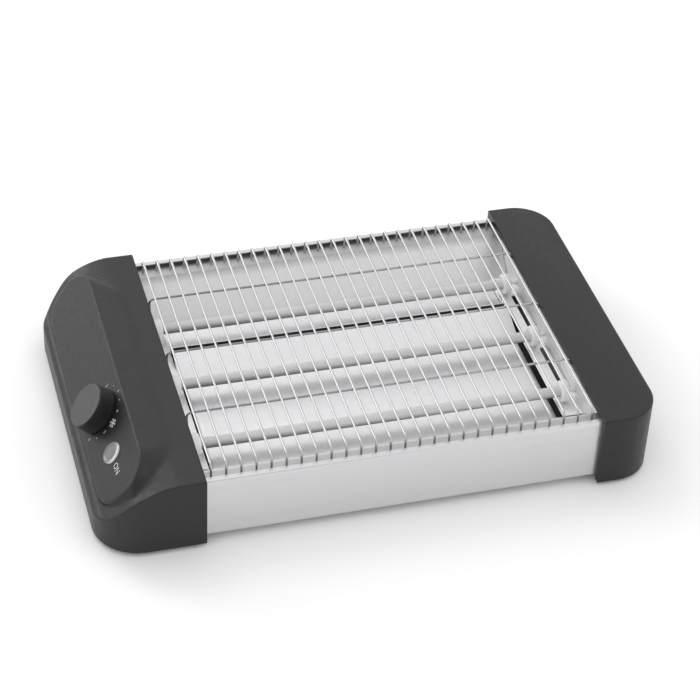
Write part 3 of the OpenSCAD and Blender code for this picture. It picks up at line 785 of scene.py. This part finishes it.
class TOASTER_OT_end_plates(bpy.types.Operator):
    """Model the end plates with the slotted shelves under the bushes"""
    bl_idname = "toaster.end_plates"
    bl_label = "End plates"

    # shelf slots, from the plate
    slot_near = 0.7 * MM
    slot_far = 5.3 * MM

    # notch in the right shelf
    notch_start = 4.5 * MM
    notch_end = 1.5 * MM
    notch_depth = 3.4 * MM

    # end of the lip from the shelf's end, radius of the bores and rounding of the edges
    lip_end = 3.2 * MM
    bore = 1.75 * MM
    edge = 0.12 * MM

    def execute(self, context):
        s = sizes()
        low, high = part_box("right_end_plate")
        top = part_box("bush_right_middle")[0].z
        gap = s.tube_spacing * 2 / 3
        inner = high.x - s.sheet
        ob = block("end_plate", (inner, low.y, low.z), high)
        shelf = block("shelf", (low.x, HOME.y - s.shelf_reach, top - s.sheet),
                      (high.x - s.sheet / 2, HOME.y + s.shelf_reach, top))
        carve(ob, shelf, "UNION")
        lip = block("lip", (low.x, HOME.y + gap, HOME.z + s.trough_floor),
                    (low.x + s.sheet, HOME.y + s.shelf_reach - self.lip_end, top - s.sheet / 2))
        carve(ob, lip, "UNION")
        for side in (1, -1):
            middle = HOME.y + side * s.tube_spacing / 2
            slot = block("slot", (inner - self.slot_far, middle - s.shelf_slot / 2, top - 2 * MM),
                         (inner - self.slot_near, middle + s.shelf_slot / 2, top + MM))
            carve(ob, slot, "DIFFERENCE")
        for name, step in TUBES:
            hole = drum("hole_" + name, self.bore, -3 * MM, 3 * MM, 32)
            place = (high.x, HOME.y + step * s.tube_spacing, HOME.z + s.tube_height)
            settle(hole, Matrix.Translation(place) @ Matrix.Rotation(math.pi / 2, 4, "Y"))
            carve(ob, hole, "DIFFERENCE")
        mirrored = Matrix.Translation((2 * HOME.x, 0, 0)) @ Matrix.Diagonal((-1, 1, 1, 1))
        twin = copy_piece(ob, "end_sheet_left", mirrored)
        choose_all(twin)
        bpy.ops.mesh.normals_make_consistent()
        done()
        notch = block("notch", (low.x - MM, HOME.y + self.notch_start, top - 2 * MM),
                      (low.x + self.notch_depth, HOME.y + gap - self.notch_end, top + MM))
        carve(ob, notch, "DIFFERENCE")
        ob.name = "end_sheet_right"
        steel = satin_steel("plain steel", colours().inner, 0.55)
        for plate, node in ((ob, "right_end_plate"), (twin, "left_end_plate")):
            finish_modifier(plate, "BEVEL", width=self.edge, segments=2, limit_method="ANGLE")
            smooth(plate)
            dress(plate, steel, "frame", "inner_steel", node)
        return {"FINISHED"}


class TOASTER_OT_bushes(bpy.types.Operator):
    """Model the rounded white bushes that carry the tubes"""
    bl_idname = "toaster.bushes"
    bl_label = "Ceramic bushes"

    # rounding of the disc, radius of its neck, rim and step of its face
    edge = 1.3 * MM
    neck = 1.3 * MM
    rim = 0.7 * MM
    step = 0.3 * MM

    # seat of the tube
    bore_radius = 3.8 * MM
    bore_depth = 4.5 * MM

    def execute(self, context):
        s = sizes()
        low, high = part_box("bush_right_middle")
        radius = (high.y - low.y) / 2
        collar = s.bush_thickness
        ob = drum("bush", radius, 0, collar, 64)
        bevel_edges(ob, lambda a, b: close(a.z, b.z), self.edge, segments=5)
        choose_facing(ob, 1)
        bpy.ops.mesh.inset(thickness=radius - self.edge - self.neck)
        bpy.ops.mesh.extrude_region_move(TRANSFORM_OT_translate={"value": (0, 0, high.x - low.x - collar)})
        done()
        choose_facing(ob, -1)
        bpy.ops.mesh.inset(thickness=self.rim)
        bpy.ops.mesh.inset(thickness=self.step, depth=-self.step)
        done()
        carve(ob, drum("bore", self.bore_radius, -MM, self.bore_depth, 32), "DIFFERENCE")
        smooth(ob)
        settle(ob, Matrix.Rotation(math.pi / 2, 4, "Y"))
        white = glazed("white ceramic", colours().ceramic)
        for side, turn in (("right", 0.0), ("left", math.pi)):
            for place in ("rear", "middle", "front"):
                node = "bush_" + side + "_" + place
                a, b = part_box(node)
                face = (a.x if side == "right" else b.x, (a.y + b.y) / 2, (a.z + b.z) / 2)
                twin = copy_piece(ob, "ceramic_" + side + "_" + place,
                                  Matrix.Translation(face) @ Matrix.Rotation(turn, 4, "Z"))
                dress(twin, white, "frame", "ceramic", node)
        bpy.data.objects.remove(ob)
        return {"FINISHED"}


class TOASTER_OT_knob(bpy.types.Operator):
    """Model the knurled timer knob"""
    bl_idname = "toaster.knob"
    bl_label = "Timer knob"

    # height and rows of the knurls, and the plain bands below and above them
    knurl = 0.5 * MM
    rows = 8
    band_low = 0.9 * MM
    band_high = 1.7 * MM

    # rounding of the top, its rim, and the depth and border of the face inside
    edge = 0.5 * MM
    rim = 1.0 * MM
    sunk = 0.1 * MM
    border = 0.25 * MM

    # wall and depth of the hollow underneath
    wall = 2.2 * MM
    hollow = 3 * MM

    def lean(self, ob):
        """Leans the side in towards the top."""
        s = sizes()
        for v in ob.data.vertices:
            factor = 1 - s.knob_draft / (s.knob_diameter / 2) * v.co.z / s.knob_height
            v.co.x *= factor
            v.co.y *= factor

    def execute(self, context):
        s = sizes()
        radius = s.knob_diameter / 2
        low = self.band_low
        high = s.knob_height - self.band_high
        ob = drum("knob", radius - self.knurl, 0, s.knob_height, s.knob_cells)
        for i in range(self.rows + 1):
            choose_all(ob)
            bpy.ops.mesh.bisect(plane_co=(0, 0, low + (high - low) * i / self.rows), plane_no=(0, 0, 1))
            done()
        choose(ob, "FACE", lambda centre, direction: abs(direction.z) < 0.1 and low < centre.z < high)
        bpy.ops.mesh.poke(offset=self.knurl)
        done()
        self.lean(ob)
        bevel_edges(ob, lambda a, b: min(a.z, b.z) > s.knob_height - NEAR, self.edge, segments=4)
        choose_facing(ob, 1)
        bpy.ops.mesh.inset(thickness=self.rim, depth=-self.sunk)
        bpy.ops.mesh.inset(thickness=self.border)
        done()
        carve(ob, drum("under", radius - self.wall, -MM, self.hollow, 64), "DIFFERENCE")
        smooth(ob, 24)
        settle(ob, control_plane() @ Matrix.Translation((0, s.knob_place, s.knob_gap)))
        ob.name = "timer_grip"
        # knob plastic with painted shade on its side and a painted highlight on its top
        plastic = knob_with_painted_light("knob plastic", colours().knob, colours().knob_top_painted_light)
        dress(ob, plastic, "timer", "knob_plastic", "timer_knob")
        return {"FINISHED"}


class TOASTER_OT_lens(bpy.types.Operator):
    """Model the pilot lens with its raised rim"""
    bl_idname = "toaster.lens"
    bl_label = "Pilot lens"

    # lower side, upper side and rounding of the upper edge
    sunk = 0.5 * MM
    proud = 1.5 * MM
    edge = 0.9 * MM

    # width and rise of the rim, the step in it and the rings of the dome, in millimetres
    rings = ((0.5, 0), (0.7, -0.55), (1.2, 0.16), (1.4, 0.1), (1.5, 0.05))

    def execute(self, context):
        s = sizes()
        ob = drum("lens", s.lens_diameter / 2, -self.sunk, self.proud, 72)
        bevel_edges(ob, lambda a, b: min(a.z, b.z) > self.proud - NEAR, self.edge, segments=5)
        choose_facing(ob, 1)
        for width, rise in self.rings:
            bpy.ops.mesh.inset(thickness=width * MM, depth=rise * MM)
        done()
        smooth(ob, 50)
        settle(ob, control_plane() @ Matrix.Translation((0, s.lens_place, 0)))
        ob.name = "pilot_window"
        # smoky lens with a painted highlight at its front edge
        dress(ob, smoky("smoky lens", colours().lens, colours().gleam), "frame", "lens_clear", "pilot_lens")
        return {"FINISHED"}


class TOASTER_OT_dial(bpy.types.Operator):
    """Print the dial digits, the dots between them, the thaw mark and ON"""
    bl_idname = "toaster.dial"
    bl_label = "Dial marks"

    # thickness of the print, and its middle above the panel
    thick = 0.03 * MM
    lift = 0.02 * MM

    # marks on the dial, the angle of the first one and the step to the next
    marks = 13
    start = math.radians(151)
    step = math.radians(24.4)

    # which mark is the thaw mark, how far out it is set, and its arms and twigs
    thaw_mark = 9
    thaw_out = 1.2 * MM
    arm_half = 0.22 * MM
    twig_half = 0.18 * MM
    twig_turn = math.radians(50)

    dot_size = 0.7 * MM
    dot_edge = 0.008 * MM

    # distance from the lens to the word ON
    word_out = 15.6 * MM

    # height of a capital in the font, and how much the strokes are thinned
    capital = 0.7
    thinner = 0.02

    def text(self, body, height):
        """Upright lettering in the control panel's plane, with its middle at the origin."""
        ob = added(bpy.ops.object.text_add, location=(0, 0, 0))
        ob.data.body = body
        ob.data.align_x = "CENTER"
        ob.data.align_y = "CENTER"
        ob.data.size = height / self.capital
        ob.data.extrude = self.thick / 2
        ob.data.offset = -self.thinner * height
        ob.data.resolution_u = 4
        bpy.ops.object.convert(target="MESH")
        return settle(ob, Matrix.Rotation(-math.pi / 2, 4, "Z"))

    def dot(self):
        """A small round printed dot."""
        ob = drum("dot", self.dot_size / 2, -self.thick / 2, self.thick / 2, 16)
        bevel_edges(ob, lambda a, b: min(a.z, b.z) > 0, self.dot_edge, segments=1)
        return ob

    def bar(self, reach, half):
        """A printed bar from the origin along x."""
        return block("bar", (0, -half, -self.thick / 2), (reach, half, self.thick / 2))

    def thaw(self, size):
        """A six-armed flake with two twigs on each arm."""
        bars = []
        fork = Matrix.Translation((0.62 * size / 2, 0, 0))
        for arm in range(6):
            turn = Matrix.Rotation(arm * math.pi / 3, 4, "Z")
            bars.append(settle(self.bar(size / 2, self.arm_half), turn))
            for side in (1, -1):
                twig = turn @ fork @ Matrix.Rotation(side * self.twig_turn, 4, "Z")
                bars.append(settle(self.bar(size / 6, self.twig_half), twig))
        return join(bars, "thaw")

    def execute(self, context):
        s = sizes()
        white = printed("white print", colours().print_white)
        marks = []
        for i in range(self.marks):
            turn = self.start - i * self.step
            reach = s.dial_radius
            if i % 2 == 0:
                mark = self.text(str(i // 2), s.dial_digit)
            elif i == self.thaw_mark:
                mark = self.thaw(s.thaw_size)
                reach += self.thaw_out
            else:
                mark = self.dot()
            place = (reach * math.cos(turn), s.knob_place + reach * math.sin(turn), 0)
            marks.append(settle(mark, Matrix.Translation(place)))
        word = self.text("ON", s.word_height)
        marks.append(settle(word, Matrix.Translation((0, s.lens_place - self.word_out, 0))))
        ob = join(marks, "dial_marks")
        settle(ob, control_plane() @ Matrix.Translation((0, 0, self.lift)))
        dress(ob, white, "frame", "housing_plastic")
        return {"FINISHED"}


class TOASTER_OT_cross_wires(bpy.types.Operator):
    """Bend the wires that cross under the grill"""
    bl_idname = "toaster.cross_wires"
    bl_label = "Cross wires"

    bend = 3 * MM
    left_leg = 9 * MM
    right_leg = 4.5 * MM

    def path(self, low, high, radius):
        """Points of a wire that turns down at both ends."""
        x0 = low.x + radius
        x1 = high.x - radius
        top = high.z - radius
        turns = [i * math.pi / 12 for i in range(7)]
        drops = [(self.bend * (1 - math.cos(turn)), self.bend * (1 - math.sin(turn))) for turn in turns]
        left = [(x0 + small, top - large) for small, large in drops]
        right = [(x1 - large, top - small) for small, large in drops]
        return [(x0, top - self.left_leg)] + left + right + [(x1, top - self.right_leg)]

    def execute(self, context):
        c = colours()
        # cross wires with painted shade towards their left ends
        finish = wire_with_painted_shade("cross wire", c.cross, shade(c.chrome, 0.85))
        for place in ("rear", "middle", "front"):
            node = "cross_wire_" + place
            low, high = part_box(node)
            radius = (high.y - low.y) / 2
            ob = added(bpy.ops.curve.primitive_nurbs_path_add, location=(0, 0, 0))
            ob.data.splines.clear()
            line = ob.data.splines.new("POLY")
            points = self.path(low, high, radius)
            line.points.add(len(points) - 1)
            for point, (x, z) in zip(line.points, points):
                point.co = (x, (low.y + high.y) / 2, z, 1)
            ob.data.bevel_depth = radius
            ob.data.bevel_resolution = 4
            ob.data.use_fill_caps = True
            bpy.ops.object.convert(target="MESH")
            settle(ob)
            ob.name = "crossing_" + place
            smooth(ob)
            dress(ob, finish, "frame", "grill_chrome", node)
        return {"FINISHED"}


class TOASTER_OT_steelwork(bpy.types.Operator):
    """Give the steel, the grill and the pieces that stay as they are their finishes"""
    bl_idname = "toaster.steelwork"
    bl_label = "Steelwork and small parts"

    def execute(self, context):
        c = colours()
        coat(satin_steel("satin panel", c.steel), "front_panel")
        # rear panel with painted shade on its inner side
        coat(lined_steel("lined panel", c.dull, c.steel), "rear_panel")
        # base plate made near black as painted shade
        coat(satin_steel("base steel", c.base, 0.6), "base_plate")
        coat(satin_steel("tray steel", c.tray, 0.5, (700, 6, 700)), "crumb_tray", "tray_plate")
        coat(bright_sheet("reflector sheet", c.reflector), "rear_reflector", "front_reflector")
        coat(plated_wire("chromed wire", c.chrome), "grill_wires")
        coat(satin_steel("brass bar", c.brass, 0.32), "bus_bar_left", "bus_bar_right")
        coat(moulded("cover plastic", shade(c.housing, 0.7), 0.55), "left_cover", "right_cover")
        coat(satin_steel("screw steel", shade(c.inner, 0.8), 0.3, (400, 400, 400)),
             "left_screws", "right_screws", "timer_shaft")
        coat(moulded("foot rubber", c.rubber, 0.7, 900),
             "foot_left_rear", "foot_left_front", "foot_right_rear", "foot_right_front", "cord_gland")
        coat(moulded("timer case", c.case, 0.5), "timer_body", "lamp_holder")
        return {"FINISHED"}


class TOASTER_OT_stage(bpy.types.Operator):
    """Set up the pale floor, the soft lamps, the world and the camera"""
    bl_idname = "toaster.stage"
    bl_label = "Stage"

    # name, place, width and power of each lamp, and what they face
    lamps = (("left_softbox", (-1.3, 1.7, 1.05), 1.0, 10),
             ("rear_softbox", (-0.35, 0.95, 1.45), 0.6, 3),
             ("right_softbox", (1.2, -1.0, 1.2), 1.2, 2))
    lamp_target = Vector((0, 0, 0.03))

    # start and end of the dim side along each axis, and how bright it stays
    dim_ends = (("X", 0.42, 0.06), ("Y", -0.25, -0.55), ("Z", 0.45, 0.75))
    dim_level = 0.3

    # place, directions and focal length of the camera that was fitted to the photo
    camera_place = (-0.34361931, -1.13622088, 0.98688992)
    camera_right = (0.96358, -0.26410, 0.04202)
    camera_back = (-0.23215, -0.74813, 0.62162)
    camera_focal = 112.34

    def lamp(self, name, place, size, power):
        """A square soft light that faces the toaster."""
        ob = added(bpy.ops.object.light_add, type="AREA", location=place)
        ob.name = name
        ob.data.size = size
        ob.data.energy = power
        ob.rotation_euler = (self.lamp_target - Vector(place)).to_track_quat("-Z", "Y").to_euler()

    def floor(self):
        """A pale matt floor, wider than the view."""
        ob = added(bpy.ops.mesh.primitive_plane_add, size=12, location=(0, 0, 0))
        ob.name = "floor"
        n = Nodes("floor", Specular_IOR_Level=0.0, Roughness=0.9)
        n.varied(n.noise(3, detail=2), colours().floor, 0.995, 1.0)
        ob.data.materials.append(n.material)

    def dim_side(self, tree):
        """How bright the room shows in reflections: white, but dim high up in front and to the left."""
        view = add_node(tree, "TexCoord").outputs["Generated"]
        split = add_node(tree, "SeparateXYZ", Vector=view)
        shaded = 1.0
        for axis, start, end in self.dim_ends:
            part = add_node(tree, "MapRange", Value=split.outputs[axis], From_Min=start, From_Max=end,
                            To_Max=shaded)
            part.interpolation_type = "SMOOTHSTEP"
            shaded = part.outputs["Result"]
        return add_node(tree, "MapRange", Value=shaded, To_Min=1.0, To_Max=self.dim_level).outputs["Result"]

    def world(self):
        """A white room, with a dim side that shows only in reflections."""
        world = bpy.data.worlds.new("studio")
        bpy.context.scene.world = world
        world.use_nodes = True
        tree = world.node_tree
        tree.nodes.clear()
        path = add_node(tree, "LightPath")
        strength = 1.0
        for output, level in (("Is Glossy Ray", self.dim_side(tree)), ("Is Transmission Ray", 1.0),
                              ("Is Camera Ray", 1.0)):
            mix = add_node(tree, "Mix", Factor=path.outputs[output], A=strength, B=level)
            strength = mix.outputs["Result"]
        background = add_node(tree, "Background", Color=(1, 1, 1, 1), Strength=strength)
        add_node(tree, "OutputWorld", Surface=background.outputs["Background"])

    def camera(self):
        data = bpy.data.cameras.new("photo_view")
        data.lens = self.camera_focal
        ob = bpy.data.objects.new("photo_view", data)
        bpy.context.collection.objects.link(ob)
        right = Vector(self.camera_right).normalized()
        back = Vector(self.camera_back).normalized()
        up = back.cross(right).normalized()
        right = up.cross(back)
        turn = Matrix((right, up, back)).transposed().to_4x4()
        ob.matrix_world = Matrix.Translation(self.camera_place) @ turn
        bpy.context.scene.camera = ob

    def execute(self, context):
        context.scene.view_settings.view_transform = "Standard"
        self.floor()
        self.world()
        for settings in self.lamps:
            self.lamp(*settings)
        self.camera()
        return {"FINISHED"}


class TOASTER_PT_pieces(bpy.types.Panel):
    """Pieces, sizes and colours of the toaster"""
    bl_idname = "TOASTER_PT_pieces"
    bl_label = "Flat toaster"
    bl_space_type = "VIEW_3D"
    bl_region_type = "UI"
    bl_category = "Toaster"

    def draw(self, context):
        for operator in OPERATORS:
            self.layout.operator(operator.bl_idname)
        for group in (context.scene.toaster_sizes, context.scene.toaster_colours):
            column = self.layout.column(align=True)
            for key in group.__annotations__:
                column.prop(group, key, text=key.replace("_", " ").capitalize())


OPERATORS = (TOASTER_OT_stage, TOASTER_OT_housing, TOASTER_OT_plain_cap, TOASTER_OT_steelwork,
             TOASTER_OT_heaters, TOASTER_OT_cross_wires, TOASTER_OT_end_plates, TOASTER_OT_bushes,
             TOASTER_OT_knob, TOASTER_OT_lens, TOASTER_OT_dial)
CLASSES = (ToasterSizes, ToasterColours) + OPERATORS + (TOASTER_PT_pieces,)


def register():
    for cls in CLASSES:
        bpy.utils.register_class(cls)
    bpy.types.Scene.toaster_sizes = PointerProperty(type=ToasterSizes)
    bpy.types.Scene.toaster_colours = PointerProperty(type=ToasterColours)


def unregister():
    del bpy.types.Scene.toaster_colours
    del bpy.types.Scene.toaster_sizes
    for cls in reversed(CLASSES):
        bpy.utils.unregister_class(cls)


def main():
    register()
    bpy.ops.toaster.stage()
    bpy.ops.toaster.housing()
    bpy.ops.toaster.plain_cap()
    bpy.ops.toaster.steelwork()
    bpy.ops.toaster.heaters()
    bpy.ops.toaster.cross_wires()
    bpy.ops.toaster.end_plates()
    bpy.ops.toaster.bushes()
    bpy.ops.toaster.knob()
    bpy.ops.toaster.lens()
    bpy.ops.toaster.dial()


if __name__ == "__main__":
    main()
